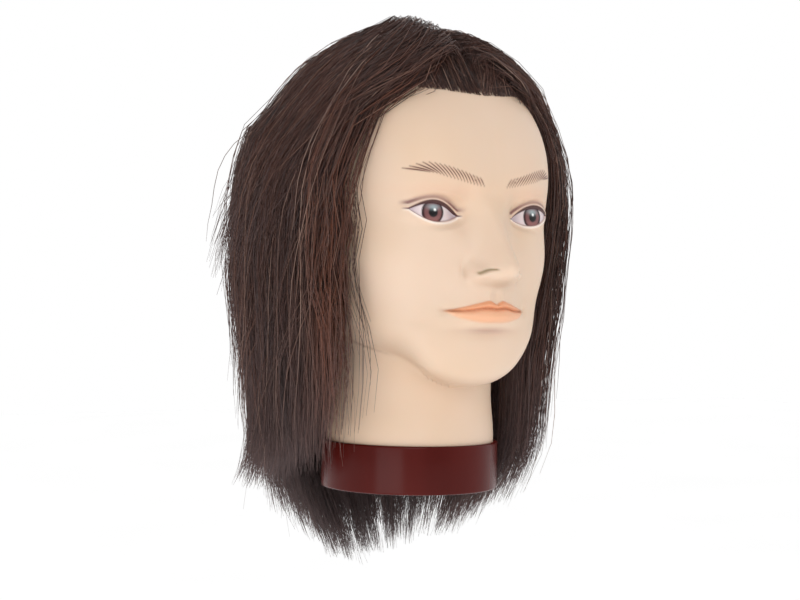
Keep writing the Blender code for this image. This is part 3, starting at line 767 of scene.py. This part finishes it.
def reach_table(depth_of, steps=60, halvings=14):
    """How far along each of a table of rays the form's surface lies."""
    across, down = np.linspace(0, math.pi, TABLE_AZIMUTHS), np.linspace(0, FALL_END, TABLE_FALLS)
    azimuths, falls = np.meshgrid(across, down)
    starts, directions = hair_rays(azimuths.ravel(), falls.ravel())
    near = np.zeros(len(starts))
    for mark in np.linspace(0.0, RAY_REACH, steps):
        near[depth_of(starts + directions * mark) < 0.0] = mark
    far = near + RAY_REACH / (steps - 1)
    for _ in range(halvings):
        middle = 0.5 * (near + far)
        within = depth_of(starts + directions * middle[:, None]) < 0.0
        near = np.where(within, middle, near)
        far = np.where(within, far, middle)
    return near.reshape(TABLE_FALLS, TABLE_AZIMUTHS)


scalp_reach = reach_table(head_depth)
outer_reach = reach_table(hair_form_depth)


def looked_up(table, azimuth, fall):
    """The table's reach between its azimuths and falls."""
    across = np.clip(np.abs(azimuth) / math.pi, 0.0, 1.0) * (TABLE_AZIMUTHS - 1.001)
    down = np.clip(fall / FALL_END, 0.0, 1.0) * (TABLE_FALLS - 1.001)
    i, j = down.astype(int), across.astype(int)
    u, v = down - i, across - j
    upper = table[i, j] * (1 - v) + table[i, j + 1] * v
    lower = table[i + 1, j] * (1 - v) + table[i + 1, j + 1] * v
    return upper * (1 - u) + lower * u


def root_fall(azimuth, height):
    """The fall at which the scalp has a height, for an azimuth."""
    fall = fall_of(height)
    for _ in range(30):
        reach = looked_up(scalp_reach, azimuth, fall)
        found = np.arccos(np.clip((height - FAN_HEIGHT) / reach, 0.0, 1.0))
        fall = np.where(height > FAN_HEIGHT, 0.5 * (fall + found), fall)
    return fall


COLLAR_TOP = 29.0
COLLAR_REACH = 52.6  # hair lies outside the collar, and closes in below it as far as the tuck
TUCK_REACH = 20.0
CURTAIN_THICKNESS = (20.0, 31.0)  # of the hair at the collar's height, and at the top of the sides


def hair_places(azimuth, fall, layer, lift, proud):
    """Points in the hair: the layer is 0 at its surface and 1 at its inside, the lift 0 on the scalp."""
    azimuth = (azimuth + math.pi) % math.tau - math.pi
    starts, directions = hair_rays(azimuth, np.maximum(fall, 0.02))
    height = starts[..., 2]
    outer = looked_up(outer_reach, azimuth, fall)
    degrees = np.degrees(azimuth)
    # fuller behind the right ear and in front of the left one, flatter down the left side
    outer += 9.0 * hill((degrees + 135.0, 36.0), (height - 125.0, 45.0)) * (fall > 1.0)
    outer += 3.0 * hill((degrees - 62.0, 22.0)) * eased(fall, 0.9, 1.4) * eased(height, 70.0, 140.0)
    left_side = eased(degrees, 20.0, 50.0) * (1 - eased(degrees, 110.0, 150.0))
    outer -= 3.0 * eased(120.0 - height, 0.0, 60.0) * left_side
    # the ends turn out on the right and close in elsewhere
    flicked = hill((degrees + 112.0, 30.0))
    closing = np.clip((30.0 - height) / 78.0, 0.0, 1.2) ** 1.5
    flick = np.clip((28.0 - height) / 42.0, 0.0, 1.2) ** 1.6
    outer += 25.0 * flick * flicked - 38.0 * closing * (1.0 - flicked)
    # the parting's groove, and the hair that stands up beside it
    across_top = np.sin(azimuth) * np.sin(np.minimum(fall, 1.5)) * 105.0
    at_front = (fall < 1.0) * eased(90.0 - np.abs(degrees), -40.0, 30.0)
    outer -= 6.0 * np.exp(-(((across_top - 2.0) / 6.5) ** 2)) * at_front
    outer += 4.5 * np.exp(-(((across_top + 13.0) / 9.0) ** 2)) * at_front
    beside_collar = height < COLLAR_TOP
    around = np.maximum(looked_up(scalp_reach, azimuth, fall), beside_collar * COLLAR_REACH)
    scalp = np.where(height < 0.0, TUCK_REACH, around)
    curtain = CURTAIN_THICKNESS[0] + np.ptp(CURTAIN_THICKNESS) * np.clip(height / FAN_HEIGHT, 0.0, 1.0)
    inner = np.maximum(scalp + 0.8, outer - curtain)
    reach = scalp + (outer + (inner - outer) * layer - scalp) * lift + proud
    reach = np.maximum(reach, scalp + 0.25)
    return starts + directions * reach[..., None]


# The opening for the face, as heights and the azimuths behind which the hair hangs there.
FACE_OPENING = (
    (-60, 30, 80, 98, 116, 132, 145, 158, 171, 192, 207, 216, 222, 226, 229),
    (50, 49, 47, 51, 56, 57, 53.5, 55, 56.5, 53, 50, 48, 45, 22, 0),
)
LOCK_WIDTH = 3.1  # degrees
LAYER_HEIGHTS = (133.0, 62.0)  # where the shorter layers of the side that is brushed back end
LAYERED_AZIMUTHS = (66.0, 158.0)
# How low the hair reaches all round, by azimuth, with the right side below 0.
TIP_AZIMUTHS = (-180, -158, -142, -120, -94, -52, -40, 40, 52, 94, 138, 180)
TIP_HEIGHTS = (-56, -48, -14, -6, 0, 10, 30, 30, 0, -36, -44, -56)


def locks(rng, ended, sign):
    """The azimuth of the lock that each hair falls into, and two numbers from 0 to 1 of the lock's own."""
    lock = np.round(np.degrees(ended) / LOCK_WIDTH + rng.normal(0, 0.25, len(ended)))
    key = (lock * 12.9898 + sign * 4.1).astype(float)
    first = np.modf(np.abs(np.sin(key) * 43758.5453))[0]
    second = np.modf(np.abs(np.sin(key * 1.7 + 2.0) * 24634.6345))[0]
    return np.radians((lock + 1.1 * (first - 0.5)) * LOCK_WIDTH), first, second


def tip_heights(rng, ended, sign, root_height, lock_first):
    """Where each hair ends, and whether it belongs to the upper or the lower of the shorter layers."""
    count = len(ended)
    degrees = np.degrees(ended)
    tip = np.interp(degrees * sign, TIP_AZIMUTHS, TIP_HEIGHTS)
    ragged = np.where(degrees > 148.0, 34.0, np.where(sign > 0, 72.0, 54.0))
    shortened = ragged * rng.random(count) ** 1.05 + 18.0 * lock_first
    shortened += np.where(rng.random(count) < 0.2, 90.0 * rng.random(count), 0.0)
    layered = (sign < 0) & (degrees > LAYERED_AZIMUTHS[0]) & (degrees < LAYERED_AZIMUTHS[1])
    upper = layered & (rng.random(count) < 0.2) & (root_height > 205.0)
    lower = layered & ~upper & (rng.random(count) < 0.26) & (root_height > 150.0)
    tip = tip + shortened
    tip = np.where(upper, LAYER_HEIGHTS[0] + rng.normal(0, 11.0, count) + 16.0 * (lock_first - 0.5), tip)
    tip = np.where(lower, LAYER_HEIGHTS[1] + rng.normal(0, 14.0, count) + 26.0 * (lock_first - 0.5), tip)
    return np.minimum(tip, root_height - 40.0), upper, lower


def strands(
    rng, count, root_azimuth, root_height, sweep, arch, points, carry=0.62, rise_length=0.16,
    lifting=0.17, shallow=0.9, fly=0.0, loose=0.03, turn=1.8,
):
    """Hairs: a (count, points, 3) array of places, each hair's tone and warmth, and its points' shares.

    The sweep is how far round a hair is carried before it hangs, over the carry, and the arch how far it
    first rises, over the rise length. Shallow hair lies near the surface, and fly hair stands off it.
    """
    sign = np.sign(root_azimuth)
    ended = np.abs(root_azimuth) + sweep + rng.normal(0, math.radians(2.5), count)
    lock_azimuth, lock_first, lock_second = locks(rng, ended, sign)
    tip, upper, lower = tip_heights(rng, ended, sign, root_height, lock_first)
    # the way down from root to tip, with a rise out of the scalp
    start_fall = root_fall(root_azimuth, root_height)
    share = (np.linspace(0, 1, points) ** 1.4)[None, :]
    along = share * (fall_of(tip) - start_fall)[:, None]
    climb = arch[:, None] * (along / rise_length) * np.exp(1.0 - along / rise_length)
    fall = np.abs(start_fall[:, None] + along - climb)
    # the way round, where hairs gather into locks that wave a little
    carried = 1.0 - np.exp(-((along / carry) ** turn))
    azimuth = np.abs(root_azimuth)[:, None] + (ended - np.abs(root_azimuth))[:, None] * carried
    azimuth += (lock_azimuth - ended)[:, None] * (0.62 * share**1.3)
    wave = rng.normal(0, 1, (count, 1))
    wave = wave * np.sin(share * rng.uniform(3, 7, (count, 1)) + rng.uniform(0, 6.3, (count, 1)))
    azimuth += wave * math.radians(1.7) * share**0.7 * (1.0 + 1.5 * fly)
    lock_wave = np.sin(along * (3.2 + 2.4 * lock_second[:, None]) + 6.3 * lock_first[:, None])
    azimuth += lock_wave * math.radians(2.2) * share
    azimuth += rng.normal(0, 1, (count, points)) * math.radians(0.25) * share**0.5
    # kept out of the face, but for a few loose hairs
    level = FAN_HEIGHT + 0.96 * looked_up(outer_reach, azimuth, fall) * np.cos(np.minimum(fall, math.pi / 2))
    level = level - np.maximum(fall - math.pi / 2, 0.0) * FALL_RADIUS
    margin = np.where(rng.random(count) < loose, rng.uniform(-9.0, 0.0, count), 13.0 * rng.random(count))
    edge = np.radians(through(*FACE_OPENING, level.ravel()).reshape(level.shape) + margin[:, None])
    azimuth = np.where(share > 0.0, np.maximum(azimuth, edge), azimuth)
    # how deep in the hair each lies, and how far it stands off
    layer = rng.random(count) ** shallow
    layer = np.clip(layer + 0.15 * (lock_second - 0.5), 0.0, 1.0)
    lift = 1.0 - np.exp(-((along / lifting) ** 1.2))
    proud = 1.6 * (lock_first[:, None] - 0.5) * share
    proud = proud + rng.normal(0, 1.0, (count, 1)) * share
    flown = fly * np.abs(rng.normal(0, 2.6, (count, 1)))
    proud = proud + flown * np.sin(np.clip(share * rng.uniform(1.5, 3.0, (count, 1)), 0, math.pi))
    upper_turn = rng.uniform(0.0, 17.0, count)
    turned_out = np.where(upper, upper_turn, np.where(lower, rng.uniform(-1.0, 9.0, count), 0.0))
    turned_out = turned_out * hill((np.degrees(ended) - 124.0, 32.0))
    proud = proud + turned_out[:, None] * eased(share, 0.62, 1.0) ** 1.5
    places = hair_places(azimuth * sign[:, None], fall, layer[:, None], lift, proud)
    # colour: darker inside the hair, a painted shade, and warmer beside the face
    tone = 0.39 + 0.2 * rng.normal(0, 1, count) + 0.4 * (lock_second - 0.5) - 0.25 * layer**2
    degrees = np.degrees(ended)
    reddish = np.where(sign < 0, 1.0, 0.35) * hill((degrees - 61.0, 8.0)) + 0.2 * hill((degrees - 100.0, 20.0))
    warmth = np.clip(reddish * rng.uniform(0.3, 1.1, count) + 0.25 * (lock_first - 0.5), 0.0, 1.0)
    return places, np.clip(tone, 0.0, 1.0), warmth, np.broadcast_to(share, (count, points))


triangle = bpy.data.curves.new("strand_outline", "CURVE")
triangle_loop = triangle.splines.new("POLY")
triangle_loop.points.add(2)
for point, angle in zip(triangle_loop.points, (0.0, math.tau / 3, 2 * math.tau / 3)):
    point.co = (math.cos(angle), math.sin(angle), 0.0, 1.0)
triangle_loop.use_cyclic_u = True
triangle_outline = bpy.data.objects.new("strand_outline", triangle)


def strand_mesh(name, batches, rng):
    """Tubes along the paths, each a little thinner at the root and fine at the tip, made one mesh."""
    curve = bpy.data.curves.new(name, "CURVE")
    curve.dimensions = "3D"
    curve.bevel_mode = "OBJECT"
    curve.bevel_object = triangle_outline
    tones = []
    warmths = []
    shares = []
    for places, tone, warmth, share in batches:
        count, points = share.shape
        thickness = rng.uniform(0.13, 0.24, (count, 1)) * MM
        radii = thickness * np.interp(share, (0, 0.05, 0.7, 1.0), (0.7, 1.0, 0.95, 0.35))
        flat = np.ones((count, points, 4), np.float32)
        flat[..., :3] = places * MM
        for path, radius in zip(flat, radii.astype(np.float32)):
            spline = curve.splines.new("POLY")
            spline.points.add(points - 1)
            spline.points.foreach_set("co", path.ravel())
            spline.points.foreach_set("radius", radius)
        tones.append(np.repeat(tone, points * 3))
        warmths.append(np.repeat(warmth, points * 3))
        shares.append(np.repeat(share.ravel(), 3))
    carrier = placed(name, curve)
    graph = bpy.context.evaluated_depsgraph_get()
    mesh = bpy.data.meshes.new_from_object(carrier.evaluated_get(graph))
    bpy.data.objects.remove(carrier)
    bpy.data.curves.remove(curve)
    mesh.name = name
    bm = bmesh.new()
    bm.from_mesh(mesh)
    bmesh.ops.holes_fill(bm, edges=[edge for edge in bm.edges if edge.is_boundary], sides=3)
    bmesh.ops.recalc_face_normals(bm, faces=bm.faces)
    bm.to_mesh(mesh)
    bm.free()
    for label, values in (("tone", tones), ("warmth", warmths), ("along", shares)):
        layer = mesh.attributes.new(label, "FLOAT", "POINT")
        layer.data.foreach_set("value", np.concatenate(values).astype(np.float32))
    return placed(name, mesh)


HAIR_SHADES = (  # tone, and its colour
    (0.0, (24, 14, 14)),
    (0.4, (55, 35, 31)),
    (0.7, (90, 62, 54)),
    (0.9, (128, 98, 84)),
    (1.0, (172, 140, 124)),
)

hair, hair_tree, hair_shader = blank_finish("dark_brown_hair", 0.4)
hair_tone = attribute_of(hair_tree, "tone")
hair_ramp = hair_tree.nodes.new("ShaderNodeValToRGB")
hair_stops = hair_ramp.color_ramp.elements
for tone_level, _ in HAIR_SHADES[1:-1]:
    hair_stops.new(tone_level)
for stop, (_, tone_colour) in zip(hair_stops, HAIR_SHADES):
    stop.color = (*srgb(*tone_colour), 1.0)
hair_tree.links.new(hair_tone, hair_ramp.inputs["Fac"])
hair_streak = spread(hair_tree, noise_at(hair_tree, 60.0, 3.0, (1.0, 1.0, 0.18)), 0.35, 0.65, 0.0, 0.6)
hair_cool = between(hair_tree, hair_streak, hair_ramp.outputs["Color"], srgb(72, 42, 34))
hair_red = between(hair_tree, attribute_of(hair_tree, "warmth"), hair_cool, srgb(124, 72, 50))
hair_end = spread(hair_tree, attribute_of(hair_tree, "along"), 0.6, 1.0, 0.0, 0.42)
hair_colour = between(hair_tree, hair_end, hair_red, srgb(116, 98, 98))
hair_tree.links.new(hair_colour, hair_shader.inputs["Base Color"])
hair_sheen = spread(hair_tree, noise_at(hair_tree, 300.0, 2.0), 0.3, 0.7, 0.34, 0.5)
hair_tree.links.new(hair_sheen, hair_shader.inputs["Roughness"])
hair_shader.inputs["Specular IOR Level"].default_value = 0.5

rng = np.random.default_rng(HEAD_OF_HAIR_SEED)
HAIRLINE_TOP = 224.0
HIGHEST_ROOT = 262.0
SIDES_TOP = 226.0
SIDE_STRAYS = 120


def lighter(batch, lift, contrast=0.0):
    """The same hairs, lighter, and with more difference between them."""
    places, tone, warmth, share = batch
    tone = np.clip(tone + lift + contrast * (tone - 0.4) * 2.0, 0.0, 1.0)
    return places, tone, warmth, share


def hair_section(name, node, batches):
    made = strand_mesh(name, batches, rng)
    made.data.materials.append(hair)
    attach(made, "root")
    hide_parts(node)


def rooted(count, low_azimuth, high_azimuth, low_height, high_height, sign):
    """Roots spread over a patch of the scalp, none in front of the hairline."""
    azimuth = np.radians(rng.uniform(low_azimuth, high_azimuth, count))
    height = rng.uniform(low_height, high_height, count)
    edge = np.radians(through(HAIRLINE_HEIGHTS, HAIRLINE_AZIMUTHS, height))
    start = edge + np.radians(16.0 * rng.random(count) ** 1.6)
    azimuth = np.where(height < HAIRLINE_TOP, np.maximum(azimuth, start), azimuth)
    return azimuth * sign, height


def swept(azimuth, height, over_from=84.0, brushed_back=0.1):
    """How far round hair from each root is carried: far from the front of the top, little from the sides."""
    degrees = np.abs(np.degrees(azimuth))
    top = eased(height, 200.0, 238.0)
    over = over_from + (180.0 - over_from) * (degrees / 180.0) ** 1.25 - degrees
    brushed = rng.random(len(degrees)) < brushed_back * eased(height, 135.0, 165.0)
    beside = np.where(brushed, rng.uniform(28.0, 72.0, len(degrees)), rng.uniform(1.0, 10.0, len(degrees)))
    beside = beside * (1.0 - degrees / 180.0)
    return np.radians(beside + (over - beside) * top)


# The right side is brushed back, and the left side hangs beside the face.
for label, sign, back, reach in (("right", -1.0, 0.62, (66, 128)), ("left", 1.0, 0.12, (58, 96))):
    # front: a dense row along the hairline
    count = 1250
    azimuth = np.radians(rng.uniform(0.0, 42, count))
    height = through(*FRONT_EDGE, np.degrees(azimuth)) + 9.0 * rng.random(count) ** 1.5
    arch = np.interp(np.degrees(azimuth), (0, 20, 42), (0.52, 0.46, 0.34)) * rng.uniform(0.8, 1.15, count)
    sweep = swept(azimuth, height + 14, rng.uniform(*reach, count), back)
    carry = np.interp(np.degrees(azimuth), (0, 6, 24), (1.0, 0.62, 0.36))[:, None]
    edge_row = strands(rng, count, azimuth * sign, height, sweep, arch, 15, carry, 0.24, 0.07, 0.7, turn=1.3)
    edge_row = lighter(edge_row, 0.05, 0.25)
    # a few fine hairs that lie loose over the temple
    count = 46
    azimuth = np.radians(rng.uniform(26.0, 46, count))
    height = through(*FRONT_EDGE, np.degrees(azimuth)) + 2.0
    arch = 0.16 * rng.uniform(0.3, 1.2, count)
    sweep = np.radians(rng.uniform(8, 30, count))
    wisps = strands(rng, count, azimuth * sign, height, sweep, arch, 12, shallow=0.5, loose=1.0)
    # the rows behind
    count = 1080
    azimuth = np.radians(rng.uniform(0.0, 60, count))
    height = rng.uniform(237, HIGHEST_ROOT, count)
    arch = 0.2 * rng.uniform(0.5, 1.2, count)
    sweep = swept(azimuth, height, rng.uniform(*reach, count), back)
    rows = strands(rng, count, azimuth * sign, height, sweep, arch, 13, 0.5, 0.2, 0.05, 1.6)
    hair_section(f"front_hair_{label}", f"hair_front_{label}", (edge_row, wisps, rows))
    # crown, with a few hairs that stand away from the rest
    count = 2900
    azimuth = np.radians(rng.uniform(40, 179, count))
    height = rng.uniform(222, HIGHEST_ROOT, count)
    arch = 0.04 * rng.uniform(0.0, 1.2, count)
    sweep = swept(azimuth, height, rng.uniform(*reach, count), back)
    rows = strands(rng, count, azimuth * sign, height, sweep, arch, 11, lifting=0.05, shallow=1.6)
    count = 190
    azimuth = np.radians(rng.uniform(0, 179, count))
    height = rng.uniform(226, HIGHEST_ROOT, count)
    arch = 0.2 * rng.uniform(0.0, 1.2, count)
    sweep = swept(azimuth, height) * rng.uniform(0.4, 1.4, count)
    stray = strands(rng, count, azimuth * sign, height, sweep, arch, 14, lifting=0.05, shallow=4.0, fly=1.0)
    stray = lighter(stray, 0.25)
    hair_section(f"crown_hair_{label}", f"hair_crown_{label}", (rows, stray))
    # sides, back of the sides, and nape: the azimuths between which they grow, the lowest root, the count
    for group, low, high, foot, dense in (
        ("side", 50, 96, 112, 2900),
        ("back_side", 94, 140, 92, 2300),
        ("nape", 137, 179, 84, 2300),
    ):
        count = dense
        azimuth, height = rooted(count, low, high, foot, SIDES_TOP, sign)
        sweep = swept(azimuth, height, rng.uniform(*reach, count), back)
        rows = strands(rng, count, azimuth, height, sweep, np.zeros(count), 11, carry=0.5, shallow=1.1)
        count = SIDE_STRAYS
        azimuth, height = rooted(count, low, high, foot, SIDES_TOP, sign)
        sweep = np.radians(rng.uniform(1, 58, count)) * (1.0 - np.abs(azimuth) / math.pi)
        stray = strands(rng, count, azimuth, height, sweep, np.zeros(count), 12, shallow=5.0, fly=1.6)
        stray = lighter(stray, 0.3)
        hair_section(f"{group}_hair_{label}", f"hair_{group}_{label}", (rows, stray))

bpy.data.objects.remove(triangle_outline)
bpy.data.curves.remove(triangle)

# ---------------------------------------------------------------------------------------------
# Studio: a pale floor with a light of its own, under a white sky that is dimmer in front of the face.
# A large soft lamp stands in front and above on the face's side, a weaker one low on the same side,
# and another behind. The head is held up by its clamp socket, so the floor is well below it.
# ---------------------------------------------------------------------------------------------

FLOOR_HEIGHT = -0.42
floor_mesh = bpy.data.meshes.new("studio_floor")
floor_bm = bmesh.new()
bmesh.ops.create_grid(floor_bm, x_segments=1, y_segments=1, size=6.0)
bmesh.ops.translate(floor_bm, vec=(0, 0, FLOOR_HEIGHT), verts=floor_bm.verts)
floor_bm.to_mesh(floor_mesh)
floor_bm.free()
floor = placed("studio_floor", floor_mesh)
paper, paper_tree, paper_shader = blank_finish("pale_floor", 0.9)
paper_cloud = spread(paper_tree, noise_at(paper_tree, 3.0), 0.3, 0.7)
paper_colour = between(paper_tree, paper_cloud, (0.96, 0.96, 0.96), (0.985, 0.985, 0.985))
paper_tree.links.new(paper_colour, paper_shader.inputs["Base Color"])
paper_shader.inputs["Emission Color"].default_value = (1.0, 1.0, 1.0, 1.0)
paper_shader.inputs["Emission Strength"].default_value = 0.19  # a light table, so that it stays white
floor_mesh.materials.append(paper)

BEHIND = (0.53, 0.848, 0.0)  # the way the face's back corner looks, where the sky is brightest
world = bpy.data.worlds.new("white_studio")
bpy.context.scene.world = world
world.use_nodes = True
backdrop = world.node_tree.nodes["Background"]
backdrop.inputs["Color"].default_value = (1.0, 1.0, 1.0, 1.0)
facing = world.node_tree.nodes.new("ShaderNodeVectorMath")
facing.operation = "DOT_PRODUCT"
facing.inputs[1].default_value = BEHIND
sky_place = world.node_tree.nodes.new("ShaderNodeTexCoord")
world.node_tree.links.new(sky_place.outputs["Generated"], facing.inputs[0])
wall_light = spread(world.node_tree, facing.outputs["Value"], -0.8, 0.3, 0.5, 1.0)
world.node_tree.links.new(wall_light, backdrop.inputs["Strength"])


def softbox(name, place, target, size, power):
    lamp = bpy.data.lights.new(name, "AREA")
    lamp.shape = "RECTANGLE"
    lamp.size, lamp.size_y = size
    lamp.energy = power
    made = placed(name, lamp)
    made.location = place
    made.rotation_euler = (Vector(target) - Vector(place)).to_track_quat("-Z", "Y").to_euler()


softbox("key_softbox", (-0.7, -1.4, 0.68), (0, 0, 0.13), (0.8, 0.8), 5.9)
softbox("low_softbox", (-1.1, -0.7, -0.15), (0, 0, 0.1), (0.8, 0.5), 2.2)
softbox("back_softbox", (0.6, 1.4, 0.7), (0, 0, 0.1), (0.7, 1.1), 1.5)

VIEW_AZIMUTH = math.radians(-32.0)
VIEW_DISTANCE = 0.94
VIEW_HEIGHT = 0.1088
VIEW_SHIFT = 0.007
VIEW_ROLL = math.radians(1.0)
toward = Vector((-math.sin(VIEW_AZIMUTH), math.cos(VIEW_AZIMUTH), 0.0))
rightward = Vector((toward.y, -toward.x, 0.0))
lens = bpy.data.cameras.new("studio_camera")
lens.lens = 71.9
lens.sensor_width = 36.0
camera = placed("studio_camera", lens)
camera.location = -VIEW_DISTANCE * toward - VIEW_SHIFT * rightward + Vector((0.0, 0.0, VIEW_HEIGHT))
level_view = toward.to_track_quat("-Z", "Y").to_matrix()
camera.rotation_euler = (level_view @ Matrix.Rotation(VIEW_ROLL, 3, "Z")).to_euler()
bpy.context.scene.camera = camera
bpy.context.scene.view_settings.view_transform = "Standard"
